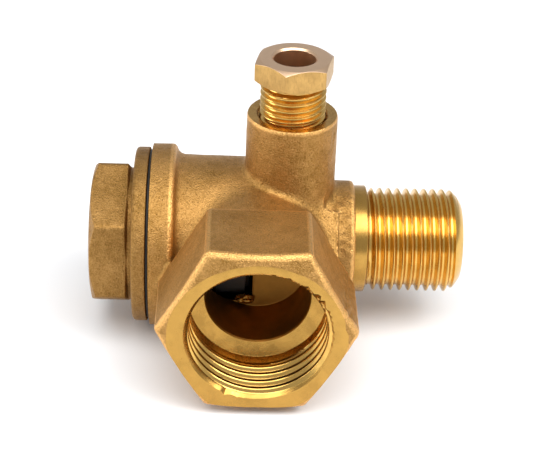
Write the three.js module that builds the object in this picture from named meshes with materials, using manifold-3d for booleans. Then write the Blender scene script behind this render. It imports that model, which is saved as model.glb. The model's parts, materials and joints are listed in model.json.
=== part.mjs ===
// Three-port spring check valve in cast brass, of the kind fitted between an air
// compressor's pump and its tank. Millimetres, +Z up.
//
// The valve is drawn about the point where its flow axis (X) meets the axis of the
// tank port (-Y); the whole group is then set down so that the origin is the middle
// of the bottom of its bounding box.
//
// Air comes in at the male pump port (+X), lifts the sprung piston off its seat
// towards the screwed cap (-X) and leaves by the female tank port (-Y). The boss on
// top (+Z) takes a thin tube from the pump side of the seat, held by a tube nut.

import * as THREE from 'three';
import { mergeVertices } from 'three/addons/utils/BufferGeometryUtils.js';
import Module from 'manifold-3d';

// ---------------------------------------------------------------- driving dimensions

const BARREL_RADIUS = 16.4;      // casting round the piston chamber
const BARREL_END = 8;            // x where the barrel gives way to the pump neck
const FLANGE_RADIUS = 18.45;     // rim that the cap screws down onto
const FLANGE_FACE = -21.2;       // x of the machined sealing face
const FLANGE_THICKNESS = 4.6;
const FLANGE_FILLET = 1.2;

const NECK_RADIUS = 11.8;        // cast neck of the pump port
const NECK_END = 19.5;
const COLLAR_RADIUS = 10.88;     // turned collar behind the pump thread
const COLLAR_END = 22;

const PIPE_PITCH = 25.4 / 14;    // half-inch parallel pipe thread
const PUMP_MAJOR_RADIUS = 10.4775;
const PUMP_MINOR_RADIUS = 9.3155;
const PUMP_THREAD_START = 22.9;
const PUMP_END = 41.4;
const PUMP_CHAMFER_START = 38.9;
const PUMP_NOSE_RADIUS = 7.9;
const PUMP_BORE_RADIUS = 6.5;

const PORT_FACE = -36;           // y of the tank port's machined face
const PORT_HEX_LENGTH = 17.8;
const PORT_HEX_ACROSS_FLATS = 33.3;
const PORT_HEX_CORNER = 1.6;     // rounding of the cast corners
const PORT_FACE_RADIUS = 16.9;   // edge of the machined face; outside it the cast end falls away
const PORT_FACE_CENTRE_Z = -1.3; // the face is cut a little below the casting's middle
const PORT_END_SLOPE = 0.42;
const PORT_BORE_CENTRE = { x: 0.25, z: -0.6 };
const PORT_NECK_RADIUS = 15;
const PORT_PITCH = 25.4 / 11;
const PORT_MAJOR_RADIUS = 13.95;
const PORT_MINOR_RADIUS = 13.1;
const PORT_MOUTH_RADIUS = 14;
const PORT_MOUTH_DEPTH = 0.5;
const PORT_THREAD_END = -25.4;
const PORT_RELIEF_RADIUS = 13.3;
const PORT_RELIEF_END = -23;
const PORT_INNER_RADIUS = 10.1;
const PORT_INNER_START = -22;
const PORT_FLOOR = -9.8;

const BOSS_X = 6.3;
const BOSS_RADIUS = 8.85;
const BOSS_FOOT_RADIUS = 9.15;
const BOSS_TOP = 28.1;
const BOSS_EDGE = 0.6;
const BOSS_THREAD_RADIUS = 6.75; // runs clear of the nut's crests
const BOSS_THREAD_END = 18.9;
const TUBE_SEAT_TOP_RADIUS = 6;
const TUBE_SEAT_BOTTOM = 16;
const TUBE_SEAT_BOTTOM_RADIUS = 3.7;
const UNLOADER_RADIUS = 3.1;     // passage from the pump side up to the tube

const CHAMBER_RADIUS = 13.6;
const CHAMBER_END = -0.6;        // x of the wall that carries the seat
const SEAT_HEIGHT = 0.6;
const SEAT_INNER_RADIUS = 7.1;
const SEAT_OUTER_RADIUS = 8.5;

const SEAL_THICKNESS = 0.55;
const SEAL_GAP = 0.05;
const SEAL_OUTER_RADIUS = 17.2;
const SEAL_INNER_RADIUS = 13.9;

const CAP_FLANGE_RADIUS = 17.7;
const CAP_FLANGE_THICKNESS = 2.8;
const CAP_FLANGE_EDGE = 0.9;
const CAP_HEX_ACROSS_FLATS = 27;
const CAP_HEX_CORNER = 1.1;
const CAP_HEX_TURN = 26;         // degrees from +Y to the first corner, towards +Z
const CAP_END = -33.2;
const CAP_CHAMFER_RADIUS = 13.3;
const CAP_NECK_RADIUS = 13.4;     // turned neck between the hexagon and the flange
const CAP_NECK_LENGTH = 1.2;
const CAP_PLUG_RADIUS = 13.4;
const CAP_PLUG_END = -12.6;
const CAP_POCKET_RADIUS = 8.8;
const CAP_POCKET_BOTTOM = -29.6;

const PISTON_RADIUS = 11.7;
const PISTON_FACE = -2.1;
const PISTON_SKIRT = -8.3;
const PISTON_TAIL_RADIUS = 8.55; // slides in the cap's pocket
const PISTON_TAIL_END = -17.2;
const PISTON_CAVITY_RADIUS = 7.4;
const PISTON_CAVITY_END = -4.6;
const DISC_RADIUS = 10.4;
const DISC_FACE = -1.3;
const DISC_BACK = -3.1;
const DISC_CLEARANCE = 0.15;

const SPRING_MEAN_RADIUS = 6.5;
const SPRING_WIRE_RADIUS = 0.45;
const SPRING_TURNS = 9;
const SPRING_CLEARANCE = 0.12;

const NUT_PITCH = 25.4 / 19;
const NUT_MAJOR_RADIUS = 6.45;
const NUT_MINOR_RADIUS = 5.7;
const NUT_BOTTOM = 22.2;
const NUT_HEX_BOTTOM = 35.3;
const NUT_TOP = 40;
const NUT_HEX_ACROSS_FLATS = 14;
const NUT_HEX_TURN = 17;         // degrees from +X to the first corner, towards +Y
const NUT_CHAMFER_RADIUS = 7.1;
const NUT_CHAMFER_DEPTH = 0.75;
const TUBE_BORE_RADIUS = 4.1;    // clears an 8 mm tube
const TUBE_BORE_MOUTH = 4.4;
const NUT_CONE_RADIUS = 5.1;
const NUT_CONE_DEPTH = 1.5;

const FERRULE_BOTTOM = 19.2;
const FERRULE_TOP = 23.1;
const FERRULE_RADIUS = 5.3;
const FERRULE_END_RADIUS = 4.6;
const FERRULE_BAND = [20.3, 21.7];

const HEX_SIDES = 6;
const BODY_SEGMENTS = 40;        // each of these is a multiple of four, so that
const PORT_SEGMENTS = 32;        // a corner lies on every axis
const SMALL_SEGMENTS = 24;
const OVERRUN = 1;               // how far a cutter or a joined stump runs past a face

// ---------------------------------------------------------------- tools

const wasm = await Module();
wasm.setup();

const point = (radius, along) => new THREE.Vector2(radius, along);
const cornerRadius = (acrossFlats) => acrossFlats / Math.sqrt(3);
const alongX = (geometry) => geometry.rotateZ(-Math.PI / 2);
const alongZ = (geometry) => geometry.rotateX(Math.PI / 2);

// One closed mesh: shared corners joined, empty triangles dropped, faces outward.
function weld(geometry) {
  const bare = new THREE.BufferGeometry();
  bare.setAttribute('position', geometry.getAttribute('position'));
  if (geometry.index) {
    bare.setIndex(geometry.index);
  }
  const joined = mergeVertices(bare, 1e-4);
  const places = joined.getAttribute('position');
  const corners = [new THREE.Vector3(), new THREE.Vector3(), new THREE.Vector3()];
  const kept = [];
  let volume = 0;
  for (let i = 0; i < joined.index.count; i += 3) {
    const [a, b, c] = [0, 1, 2].map((k) => joined.index.getX(i + k));
    if (a === b || b === c || c === a) {
      continue;
    }
    kept.push([a, b, c]);
    [a, b, c].forEach((v, k) => corners[k].fromBufferAttribute(places, v));
    volume += corners[0].dot(corners[1].clone().cross(corners[2]));
  }
  const order = volume > 0 ? kept : kept.map(([a, b, c]) => [a, c, b]);
  joined.setIndex(order.flat());
  return joined;
}

function toSolid(geometry) {
  const closed = weld(geometry);
  const vertProperties = new Float32Array(closed.getAttribute('position').array);
  const triVerts = new Uint32Array(closed.index.array);
  return new wasm.Manifold(new wasm.Mesh({ numProp: 3, vertProperties, triVerts }));
}

function toGeometry(solid) {
  const mesh = solid.getMesh();
  const geometry = new THREE.BufferGeometry();
  geometry.setAttribute('position', new THREE.BufferAttribute(mesh.vertProperties, 3));
  geometry.setIndex(new THREE.BufferAttribute(mesh.triVerts, 1));
  return geometry;
}

// The first solid with the others joined to it, then the cutters taken away.
function carve(solids, cutters) {
  const whole = solids.map(toSolid).reduce((sum, next) => sum.add(next));
  return cutters.map(toSolid).reduce((rest, cutter) => rest.subtract(cutter), whole);
}

// A turned shape about local Y from [radius, height] corners.
function turned(corners, segments) {
  return new THREE.LatheGeometry(corners.map(([r, y]) => point(r, y)), segments);
}

function cylinder(radius, from, to, segments) {
  return turned([[0, from], [radius, from], [radius, to], [0, to]], segments);
}

// A hexagon in the XY plane with rounded corners, its first corner at `turn` degrees.
function hexagon(acrossFlats, rounding, turn) {
  const shape = new THREE.Shape();
  const reach = cornerRadius(acrossFlats) - rounding / Math.cos(Math.PI / HEX_SIDES);
  for (let side = 0; side < HEX_SIDES; side += 1) {
    const towards = THREE.MathUtils.degToRad(turn + side * (360 / HEX_SIDES));
    const half = Math.PI / HEX_SIDES;
    const centre = [reach * Math.cos(towards), reach * Math.sin(towards)];
    shape.absarc(centre[0], centre[1], rounding, towards - half, towards + half, false);
  }
  shape.closePath();
  return shape;
}

function hexBar(acrossFlats, rounding, turn, length) {
  const outline = hexagon(acrossFlats, rounding, turn);
  return new THREE.ExtrudeGeometry(outline, { depth: length, bevelEnabled: false, curveSegments: 3 });
}

// A right-handed screw about local Y. Each turn has four rows of corners: root, foot of
// the flank, crest and far side of the crest. Rows are cut off square at both ends, and
// `limit(y)` is the largest radius allowed at height y.
function screw({ minor, major, pitch, from, to, ends, limit, segments }) {
  const rows = [[0, minor], [0.16, minor], [0.47, major], [0.69, major]];
  const places = [];
  const faces = [];
  const turns = Math.ceil((to - from) / pitch) + 1;
  const rowCount = turns * rows.length;
  for (let row = -rows.length; row < rowCount; row += 1) {
    const turn = Math.floor(row / rows.length);
    const [share, radius] = rows[row - turn * rows.length];
    for (let step = 0; step <= segments; step += 1) {
      const angle = (2 * Math.PI * (step % segments)) / segments;
      const free = from + pitch * (turn + share + step / segments);
      const y = Math.min(Math.max(free, from), to);
      let r = Math.min(radius, limit(y));
      if (free <= from) {
        r = ends[0];
      } else if (free >= to) {
        r = ends[1];
      }
      places.push(r * Math.sin(angle), y, r * Math.cos(angle));
    }
  }
  const width = segments + 1;
  const height = places.length / 3 / width;
  for (let row = 0; row < height - 1; row += 1) {
    for (let step = 0; step < segments; step += 1) {
      const a = row * width + step;
      faces.push(a, a + 1, a + width, a + 1, a + width + 1, a + width);
    }
  }
  const low = places.length / 3;
  const high = low + 1;
  places.push(0, from, 0, 0, to, 0);
  const lastRow = (height - 1) * width;
  for (let step = 0; step < segments; step += 1) {
    faces.push(low, step + 1, step, high, lastRow + step, lastRow + step + 1);
  }
  const geometry = new THREE.BufferGeometry();
  geometry.setAttribute('position', new THREE.Float32BufferAttribute(places, 3));
  geometry.setIndex(faces);
  return geometry;
}

function brass(color, roughness) {
  return new THREE.MeshStandardMaterial({ color, roughness, metalness: 1, flatShading: true });
}

function dull(color, roughness) {
  return new THREE.MeshStandardMaterial({ color, roughness, metalness: 0, flatShading: true });
}

// ---------------------------------------------------------------- valve body

function barrelAndNeck() {
  const flangeBack = FLANGE_FACE + FLANGE_THICKNESS;
  const shoulder = 2.2;
  return alongX(turned([
    [0, FLANGE_FACE],
    [FLANGE_RADIUS, FLANGE_FACE],
    [FLANGE_RADIUS, flangeBack - FLANGE_FILLET],
    [FLANGE_RADIUS - FLANGE_FILLET, flangeBack],
    [BARREL_RADIUS, flangeBack + FLANGE_FILLET],
    [BARREL_RADIUS, BARREL_END - shoulder],
    [BARREL_RADIUS - shoulder, BARREL_END],
    [NECK_RADIUS, BARREL_END + 2 * shoulder],
    [NECK_RADIUS, NECK_END],
    [COLLAR_RADIUS, NECK_END],
    [COLLAR_RADIUS, COLLAR_END],
    [PUMP_MINOR_RADIUS, COLLAR_END],
    [PUMP_MINOR_RADIUS, COLLAR_END + OVERRUN / 2],
    [0, COLLAR_END + OVERRUN / 2],
  ], BODY_SEGMENTS));
}

// The pump port's thread: full crests between the collar and the rounded nose.
function pumpThread() {
  const limit = (x) => {
    if (x < PUMP_THREAD_START) {
      return PUMP_MINOR_RADIUS;
    }
    if (x < PUMP_CHAMFER_START) {
      return PUMP_MAJOR_RADIUS;
    }
    const share = (x - PUMP_CHAMFER_START) / (PUMP_END - PUMP_CHAMFER_START);
    return PUMP_MAJOR_RADIUS - (PUMP_MAJOR_RADIUS - PUMP_NOSE_RADIUS) * share ** 1.6;
  };
  return alongX(screw({
    minor: PUMP_MINOR_RADIUS,
    major: PUMP_MAJOR_RADIUS,
    pitch: PIPE_PITCH,
    from: COLLAR_END - OVERRUN,
    to: PUMP_END,
    ends: [PUMP_MINOR_RADIUS, PUMP_NOSE_RADIUS],
    limit,
    segments: SMALL_SEGMENTS,
  }));
}

function portHex() {
  const bar = hexBar(PORT_HEX_ACROSS_FLATS, PORT_HEX_CORNER, 0, PORT_HEX_LENGTH);
  bar.rotateX(Math.PI / 2);
  bar.translate(0, PORT_FACE + PORT_HEX_LENGTH, 0);
  const widest = cornerRadius(PORT_HEX_ACROSS_FLATS) - PORT_FACE_CENTRE_Z + OVERRUN;
  const turnedOff = turned([
    [0, PORT_FACE],
    [PORT_FACE_RADIUS, PORT_FACE],
    [widest, PORT_FACE + PORT_END_SLOPE * (widest - PORT_FACE_RADIUS)],
    [widest, 0],
    [0, 0],
  ], BODY_SEGMENTS).translate(0, 0, PORT_FACE_CENTRE_Z);
  return toGeometry(toSolid(bar).intersect(toSolid(turnedOff)));
}

function boss() {
  return alongZ(turned([
    [0, 0],
    [BOSS_FOOT_RADIUS, 0],
    [BOSS_FOOT_RADIUS, BARREL_RADIUS],
    [BOSS_RADIUS, BOSS_TOP - BOSS_EDGE],
    [BOSS_RADIUS - BOSS_EDGE, BOSS_TOP],
    [0, BOSS_TOP],
  ], PORT_SEGMENTS)).translate(BOSS_X, 0, 0);
}

// Piston chamber, open at the flange, ending at the wall that carries the raised seat.
function chamberCutter() {
  const seatTop = CHAMBER_END - SEAT_HEIGHT;
  return alongX(turned([
    [0, FLANGE_FACE - OVERRUN],
    [CHAMBER_RADIUS, FLANGE_FACE - OVERRUN],
    [CHAMBER_RADIUS, CHAMBER_END],
    [SEAT_OUTER_RADIUS, CHAMBER_END],
    [SEAT_OUTER_RADIUS - SEAT_HEIGHT / 2, seatTop],
    [SEAT_INNER_RADIUS, seatTop],
    [PUMP_BORE_RADIUS, CHAMBER_END],
    [PUMP_BORE_RADIUS, PUMP_END + OVERRUN],
    [0, PUMP_END + OVERRUN],
  ], BODY_SEGMENTS));
}

function portCutters() {
  const bore = turned([
    [0, PORT_FACE - OVERRUN],
    [PORT_MOUTH_RADIUS + OVERRUN, PORT_FACE - OVERRUN],
    [PORT_MINOR_RADIUS, PORT_FACE + 2 * PORT_MOUTH_DEPTH],
    [PORT_MINOR_RADIUS, PORT_THREAD_END],
    [PORT_RELIEF_RADIUS, PORT_THREAD_END],
    [PORT_RELIEF_RADIUS, PORT_RELIEF_END],
    [PORT_INNER_RADIUS, PORT_INNER_START],
    [PORT_INNER_RADIUS, PORT_FLOOR],
    [0, PORT_FLOOR],
  ], PORT_SEGMENTS);
  const thread = screw({
    minor: PORT_MINOR_RADIUS,
    major: PORT_MAJOR_RADIUS,
    pitch: PORT_PITCH,
    from: PORT_FACE - OVERRUN,
    to: PORT_THREAD_END + 0.4,
    ends: [PORT_MAJOR_RADIUS, PORT_RELIEF_RADIUS - 0.2],
    limit: () => PORT_MAJOR_RADIUS,
    segments: PORT_SEGMENTS,
  });
  const { x, z } = PORT_BORE_CENTRE;
  return [bore.translate(x, 0, z), thread.translate(x, 0, z)];
}

function bossCutter() {
  return alongZ(turned([
    [0, 0],
    [UNLOADER_RADIUS, 0],
    [UNLOADER_RADIUS, TUBE_SEAT_BOTTOM],
    [TUBE_SEAT_BOTTOM_RADIUS, TUBE_SEAT_BOTTOM],
    [TUBE_SEAT_TOP_RADIUS, BOSS_THREAD_END],
    [BOSS_THREAD_RADIUS, BOSS_THREAD_END],
    [BOSS_THREAD_RADIUS, BOSS_TOP + OVERRUN],
    [0, BOSS_TOP + OVERRUN],
  ], SMALL_SEGMENTS)).translate(BOSS_X, 0, 0);
}

function valveBody() {
  const portNeck = cylinder(PORT_NECK_RADIUS, PORT_FACE + PORT_HEX_LENGTH - OVERRUN, 0, BODY_SEGMENTS);
  const solids = [barrelAndNeck(), pumpThread(), portHex(), portNeck, boss()];
  return toGeometry(carve(solids, [chamberCutter(), ...portCutters(), bossCutter()]));
}

// ---------------------------------------------------------------- cap and its seal

const CAP_FLANGE_FACE = FLANGE_FACE - SEAL_THICKNESS - 2 * SEAL_GAP;

function endCap() {
  const flangeBack = CAP_FLANGE_FACE - CAP_FLANGE_THICKNESS;
  const hexLength = flangeBack - CAP_NECK_LENGTH - CAP_END;
  const plug = alongX(turned([
    [0, flangeBack - 2 * CAP_NECK_LENGTH],
    [CAP_NECK_RADIUS, flangeBack - 2 * CAP_NECK_LENGTH],
    [CAP_NECK_RADIUS, flangeBack],
    [CAP_FLANGE_RADIUS - CAP_FLANGE_EDGE, flangeBack],
    [CAP_FLANGE_RADIUS, flangeBack + CAP_FLANGE_EDGE],
    [CAP_FLANGE_RADIUS, CAP_FLANGE_FACE],
    [CAP_PLUG_RADIUS, CAP_FLANGE_FACE],
    [CAP_PLUG_RADIUS, CAP_PLUG_END],
    [0, CAP_PLUG_END],
  ], BODY_SEGMENTS));
  const hex = hexBar(CAP_HEX_ACROSS_FLATS, CAP_HEX_CORNER, CAP_HEX_TURN, hexLength);
  hex.rotateZ(Math.PI / 2);
  hex.rotateY(Math.PI / 2);
  hex.translate(CAP_END, 0, 0);
  const widest = cornerRadius(CAP_HEX_ACROSS_FLATS);
  const turnedOff = alongX(turned([
    [0, CAP_END],
    [CAP_CHAMFER_RADIUS, CAP_END],
    [widest, CAP_END + 0.75 * (widest - CAP_CHAMFER_RADIUS)],
    [widest, flangeBack],
    [0, flangeBack],
  ], BODY_SEGMENTS));
  const head = toGeometry(toSolid(hex).intersect(toSolid(turnedOff)));
  const pocket = cylinder(CAP_POCKET_RADIUS, CAP_POCKET_BOTTOM, CAP_PLUG_END + OVERRUN, PORT_SEGMENTS);
  return toGeometry(carve([plug, head], [alongX(pocket)]));
}

function capSealRing() {
  const left = CAP_FLANGE_FACE + SEAL_GAP;
  const right = FLANGE_FACE - SEAL_GAP;
  return alongX(turned([
    [SEAL_INNER_RADIUS, left],
    [SEAL_OUTER_RADIUS, left],
    [SEAL_OUTER_RADIUS, right],
    [SEAL_INNER_RADIUS, right],
    [SEAL_INNER_RADIUS, left],
  ], BODY_SEGMENTS));
}

// ---------------------------------------------------------------- piston and spring

function checkPiston() {
  const edge = 0.5;
  return alongX(turned([
    [0, DISC_BACK - DISC_CLEARANCE],
    [DISC_RADIUS + DISC_CLEARANCE, DISC_BACK - DISC_CLEARANCE],
    [DISC_RADIUS + DISC_CLEARANCE, PISTON_FACE],
    [PISTON_RADIUS - edge, PISTON_FACE],
    [PISTON_RADIUS, PISTON_FACE - edge],
    [PISTON_RADIUS, PISTON_SKIRT + edge],
    [PISTON_RADIUS - edge, PISTON_SKIRT],
    [PISTON_TAIL_RADIUS, PISTON_SKIRT],
    [PISTON_TAIL_RADIUS, PISTON_TAIL_END],
    [PISTON_CAVITY_RADIUS, PISTON_TAIL_END],
    [PISTON_CAVITY_RADIUS, PISTON_CAVITY_END],
    [0, PISTON_CAVITY_END],
  ], PORT_SEGMENTS));
}

function pistonSealDisc() {
  return alongX(cylinder(DISC_RADIUS, DISC_BACK, DISC_FACE, PORT_SEGMENTS));
}

// A compression spring: the first and last turns lie closed, the others are open.
class SpringLine extends THREE.Curve {
  getPoint(share, target = new THREE.Vector3()) {
    const closed = 1 / SPRING_TURNS;
    const start = CAP_POCKET_BOTTOM + SPRING_CLEARANCE + SPRING_WIRE_RADIUS;
    const end = PISTON_CAVITY_END - SPRING_CLEARANCE - SPRING_WIRE_RADIUS;
    const closedLift = 2.2 * SPRING_WIRE_RADIUS;
    const middle = THREE.MathUtils.clamp((share - closed) / (1 - 2 * closed), 0, 1);
    const low = Math.min(share / closed, 1) * closedLift;
    const high = Math.max((share - 1 + closed) / closed, 0) * closedLift;
    const angle = 2 * Math.PI * SPRING_TURNS * share;
    return target.set(
      start + low + high + middle * (end - start - 2 * closedLift),
      SPRING_MEAN_RADIUS * Math.cos(angle),
      SPRING_MEAN_RADIUS * Math.sin(angle),
    );
  }
}

function checkSpring() {
  const wire = new THREE.Shape();
  wire.absarc(0, 0, SPRING_WIRE_RADIUS, 0, 2 * Math.PI, false);
  const steps = SPRING_TURNS * 14;
  return new THREE.ExtrudeGeometry(wire, { steps, curveSegments: 3, extrudePath: new SpringLine() });
}

// ---------------------------------------------------------------- tube nut and ferrule

function tubeNut() {
  const lead = 0.9;
  const limit = (z) => Math.min(
    NUT_MAJOR_RADIUS,
    NUT_MINOR_RADIUS + Math.max(z - NUT_BOTTOM, 0) * ((NUT_MAJOR_RADIUS - NUT_MINOR_RADIUS) / lead),
    NUT_MINOR_RADIUS + Math.max(NUT_HEX_BOTTOM - lead - z, 0),
  );
  const thread = alongZ(screw({
    minor: NUT_MINOR_RADIUS,
    major: NUT_MAJOR_RADIUS,
    pitch: NUT_PITCH,
    from: NUT_BOTTOM,
    to: NUT_HEX_BOTTOM + OVERRUN,
    ends: [NUT_MINOR_RADIUS, NUT_MINOR_RADIUS],
    limit,
    segments: SMALL_SEGMENTS,
  }));
  const hex = hexBar(NUT_HEX_ACROSS_FLATS, 0.3, NUT_HEX_TURN, NUT_TOP - NUT_HEX_BOTTOM);
  hex.translate(0, 0, NUT_HEX_BOTTOM);
  const widest = cornerRadius(NUT_HEX_ACROSS_FLATS);
  const turnedOff = alongZ(turned([
    [0, NUT_HEX_BOTTOM],
    [NUT_CHAMFER_RADIUS, NUT_HEX_BOTTOM],
    [widest, NUT_HEX_BOTTOM + NUT_CHAMFER_DEPTH],
    [widest, NUT_TOP - NUT_CHAMFER_DEPTH],
    [NUT_CHAMFER_RADIUS, NUT_TOP],
    [0, NUT_TOP],
  ], PORT_SEGMENTS));
  const head = toGeometry(toSolid(hex).intersect(toSolid(turnedOff)));
  const mouth = TUBE_BORE_MOUTH - TUBE_BORE_RADIUS;
  const bore = alongZ(turned([
    [0, NUT_BOTTOM - OVERRUN],
    [NUT_CONE_RADIUS, NUT_BOTTOM - OVERRUN],
    [NUT_CONE_RADIUS, NUT_BOTTOM],
    [TUBE_BORE_RADIUS, NUT_BOTTOM + NUT_CONE_DEPTH],
    [TUBE_BORE_RADIUS, NUT_TOP - mouth],
    [TUBE_BORE_MOUTH, NUT_TOP],
    [TUBE_BORE_MOUTH, NUT_TOP + OVERRUN],
    [0, NUT_TOP + OVERRUN],
  ], SMALL_SEGMENTS));
  return toGeometry(carve([thread, head], [bore]));
}

function tubeFerrule() {
  return alongZ(turned([
    [TUBE_BORE_RADIUS, FERRULE_BOTTOM],
    [FERRULE_END_RADIUS, FERRULE_BOTTOM],
    [FERRULE_RADIUS, FERRULE_BAND[0]],
    [FERRULE_RADIUS, FERRULE_BAND[1]],
    [TUBE_BORE_RADIUS + 0.15, FERRULE_TOP],
    [TUBE_BORE_RADIUS, FERRULE_TOP],
    [TUBE_BORE_RADIUS, FERRULE_BOTTOM],
  ], SMALL_SEGMENTS));
}

// ---------------------------------------------------------------- the assembly

const valve = new THREE.Group();
valve.position.set(
  -(PUMP_END + CAP_END) / 2,
  -(FLANGE_RADIUS + PORT_FACE) / 2,
  FLANGE_RADIUS,
);

function place(name, geometry, material, x = 0) {
  const mesh = new THREE.Mesh(weld(geometry), material);
  mesh.name = name;
  mesh.position.x = x;
  valve.add(mesh);
}

place('valve_body', valveBody(), brass(0xb4874c, 0.5));
place('end_cap', endCap(), brass(0xa67c48, 0.5));
place('cap_seal_ring', capSealRing(), dull(0x16120f, 0.8));
place('check_spring', checkSpring(), brass(0xb9bcc0, 0.3));
place('check_piston', checkPiston(), dull(0x3b3836, 0.6));
place('piston_seal_disc', pistonSealDisc(), dull(0x0e0d0d, 0.8));
place('tube_nut', tubeNut(), brass(0xcf9f5c, 0.3), BOSS_X);
place('tube_ferrule', tubeFerrule(), brass(0xd8ae5a, 0.3), BOSS_X);

export default valve;
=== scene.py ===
"""Looks of a three-port spring check valve in cast brass.

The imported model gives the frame: the pieces' places, sizes and motion. This file makes
the surface of every piece again, finely, in numpy, gives each its finish, and sets up
a small studio. Shapes are worked out in millimetres about the point where the flow axis
(X) meets the axis of the tank port (-Y), and are moved into the frame, in metres, when
their mesh is made.
"""

import json
import math

import bpy
import numpy as np
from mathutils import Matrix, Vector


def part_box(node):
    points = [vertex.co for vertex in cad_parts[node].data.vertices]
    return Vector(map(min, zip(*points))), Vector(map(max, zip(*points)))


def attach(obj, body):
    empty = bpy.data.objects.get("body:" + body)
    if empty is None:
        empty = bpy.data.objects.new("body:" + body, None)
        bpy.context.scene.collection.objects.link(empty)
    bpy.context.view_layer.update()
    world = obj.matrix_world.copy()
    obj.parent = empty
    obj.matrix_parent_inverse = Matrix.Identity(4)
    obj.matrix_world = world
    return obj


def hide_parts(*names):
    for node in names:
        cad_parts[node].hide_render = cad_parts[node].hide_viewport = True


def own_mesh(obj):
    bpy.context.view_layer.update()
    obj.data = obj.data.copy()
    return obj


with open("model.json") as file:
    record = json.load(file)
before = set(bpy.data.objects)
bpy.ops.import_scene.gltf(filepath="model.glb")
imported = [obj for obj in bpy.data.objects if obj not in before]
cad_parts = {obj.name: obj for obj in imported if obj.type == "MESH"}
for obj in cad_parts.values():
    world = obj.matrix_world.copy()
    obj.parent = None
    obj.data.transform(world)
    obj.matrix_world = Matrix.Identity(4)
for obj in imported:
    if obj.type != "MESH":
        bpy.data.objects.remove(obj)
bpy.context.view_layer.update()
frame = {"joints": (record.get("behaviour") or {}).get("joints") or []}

import openvdb
from bpy.props import FloatProperty, FloatVectorProperty, PointerProperty
from mathutils import Matrix, Vector

bl_info = {
    "name": "Spring check valve",
    "version": (1, 0, 0),
    "blender": (4, 5, 0),
    "location": "3D View > Sidebar > Check valve",
    "description": "Makes the pieces of a three-port brass check valve round its frame",
    "category": "Add Mesh",
}

MM = 0.001
INCH = 25.4                      # mm
BODY_LOW, BODY_HIGH = (np.array(corner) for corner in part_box("valve_body"))
CAP_LOW, CAP_HIGH = (np.array(corner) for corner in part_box("end_cap"))
NUT_LOW, NUT_HIGH = (np.array(corner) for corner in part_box("tube_nut"))
PUMP_END = 41.4                  # mm from the tank port's axis to the pump port's end
AXES = np.array((
    BODY_HIGH[0] - PUMP_END * MM,
    (CAP_LOW[1] + CAP_HIGH[1]) / 2,
    (CAP_LOW[2] + CAP_HIGH[2]) / 2,
))
CAP_END = (CAP_LOW[0] - AXES[0]) / MM
NUT_TOP = (NUT_HIGH[2] - AXES[2]) / MM
NUT_BOTTOM = (NUT_LOW[2] - AXES[2]) / MM
PORT_FACE = (BODY_LOW[1] - AXES[1]) / MM
FLANGE_FACE = (BODY_LOW[0] - AXES[0]) / MM
BOSS_X = ((NUT_LOW[0] + NUT_HIGH[0]) / 2 - AXES[0]) / MM
PORT_CENTRE = (0.25, -0.6)       # x and z of the tank port's bore, off the casting's middle
PORT_FLOOR = -9.8                # y of the bore's flat bottom
PORT_SHOULDER = -22.2            # y where the wide thread gives way to the narrow bore
PORT_CREST = 13.1                # radius over the crests of the port's thread
PORT_RELIEF = 13.3
PORT_BORE = 10.1
CAP_FACE = FLANGE_FACE - 0.65    # x of the cap flange's face, home on its seal
PLUG_END = -12.6                 # x of the end of the cap's plug
POCKET_END = -29.6               # x of the bottom of the cap's spring pocket
NUT_HEX_BOTTOM = 35.3            # z of the underside of the tube nut's hexagon


def length(name, description, millimetres):
    """A size that a user may change, stored in metres."""
    return FloatProperty(
        name=name, description=description, default=millimetres * MM,
        min=0, subtype="DISTANCE", unit="LENGTH", precision=5,
    )


def colour(name, description, rgb):
    return FloatVectorProperty(
        name=name, description=description, default=rgb, min=0, max=1, subtype="COLOR",
    )


class CheckValveSizes(bpy.types.PropertyGroup):
    """Driving sizes of the casting, the cap and the nut."""

    barrel_radius: length("Barrel radius", "Casting round the piston chamber", 16.4)
    flange_radius: length("Flange radius", "Rim that the cap screws down onto", 18.45)
    neck_radius: length("Pump neck radius", "Cast neck behind the pump thread", 11.8)
    port_neck_radius: length("Port neck radius", "Round neck behind the hexagon", 15)
    port_flats: length("Port across flats", "Hexagon of the tank port", 33.3)
    boss_radius: length("Boss radius", "Boss that takes the tube nut", 8.85)
    boss_height: length("Boss height", "From the flow axis to the boss's rim", 28.1)
    foot_fillet: length("Foot fillet", "Blend where the boss grows out of the barrel", 1.5)
    skin_step: length("Skin step", "Mesh size on the cast surfaces", 0.42)
    cap_flats: length("Cap across flats", "Hexagon of the screwed cap", 27)
    nut_flats: length("Nut across flats", "Hexagon of the tube nut", 14)
    tube_bore: length("Tube bore radius", "Clears the thin tube", 4.1)
    wire: length("Spring wire radius", "Half the thickness of the wire", 0.45)


class CheckValveColours(bpy.types.PropertyGroup):
    """Base colours of the finishes."""

    # The light cast colour, made brighter still, is also the colour of the painted edge
    # highlight.
    cast_light: colour("Cast brass, light", "Rubbed parts and painted edge highlights of the casting", (0.62, 0.345, 0.112))
    cast_dark: colour("Cast brass, dark", "Toned parts of the casting", (0.22, 0.108, 0.018))
    turned: colour("Turned brass", "Machined faces and shoulders", (0.53, 0.298, 0.070))
    threaded: colour("Threaded brass", "Screw threads", (0.78, 0.475, 0.125))
    # Darker than the turned brass: painted shade for the deep bores, on top of the drill's duller
    # finish.
    bored_shaded: colour("Bored brass", "Deep bores, dulled by the drill and painted darker for shade", (0.44, 0.22, 0.045))
    nut: colour("Nut end", "Turned end and bore of the tube nut", (0.80, 0.54, 0.34))
    nut_side: colour("Nut side", "Drawn sides of the tube nut", (0.60, 0.36, 0.12))
    rubber: colour("Rubber", "Seal ring and piston face", (0.012, 0.011, 0.010))
    piston: colour("Piston", "Moulded piston", (0.045, 0.042, 0.040))
    steel: colour("Spring steel", "Spring wire", (0.56, 0.57, 0.58))
    floor: colour("Floor", "Studio sweep", (0.90, 0.90, 0.90))


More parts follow.
